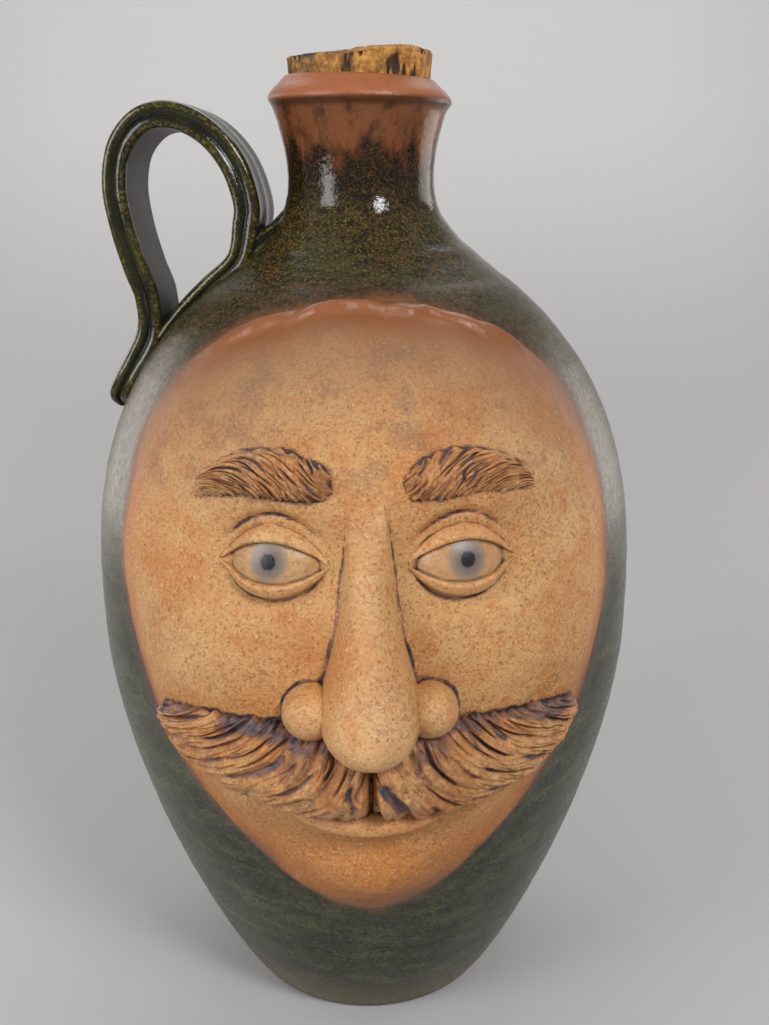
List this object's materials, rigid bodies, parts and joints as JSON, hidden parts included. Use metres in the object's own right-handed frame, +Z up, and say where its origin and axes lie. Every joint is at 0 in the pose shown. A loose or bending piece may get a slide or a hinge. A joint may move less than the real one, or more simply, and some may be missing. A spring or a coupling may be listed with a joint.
{
  "type": "face jug",
  "caption": "Wheel-thrown stoneware jug with a built-up clay face, bushy moustache, pulled strap handle on the shoulder and a cork that lifts out.",
  "frame": {"origin": "centre of the flat base, on the surface that the jug stands on", "axes": "+Z up through the mouth; the face looks along -Y; the handle is on the -X side"},
  "size_m": [0.1622, 0.1882, 0.2858],
  "materials": {
    "glazed_stoneware": "glossy mottled dark green glaze, rust red at the lip",
    "bare_clay": "unglazed speckled stoneware",
    "oxide_washed_clay": "carved stoneware with dark oxide in the cuts",
    "eye_clay": "smooth clay with a painted iris",
    "cork": "natural cork with dark pores"
  },
  "bodies": {
    "jug": {"jug_body": "glazed_stoneware", "handle": "glazed_stoneware", "forehead": "bare_clay", "cheek_left": "bare_clay", "cheek_right": "bare_clay", "chin": "bare_clay", "nose": "bare_clay", "nostril_left": "bare_clay", "nostril_right": "bare_clay", "upper_eyelid_left": "bare_clay", "upper_eyelid_right": "bare_clay", "lower_eyelid_left": "bare_clay", "lower_eyelid_right": "bare_clay", "lower_lip": "bare_clay", "eyebrow_left": "oxide_washed_clay", "eyebrow_right": "oxide_washed_clay", "moustache_left": "oxide_washed_clay", "moustache_right": "oxide_washed_clay", "eyeball_left": "eye_clay", "eyeball_right": "eye_clay"},
    "cork": {"cork": "cork"}
  },
  "joints": [
    {"name": "cork_pull", "type": "slide", "parent": "jug", "child": "cork", "axis": [0, 0, 1], "range_m": [0, 0.06]}
  ]
}
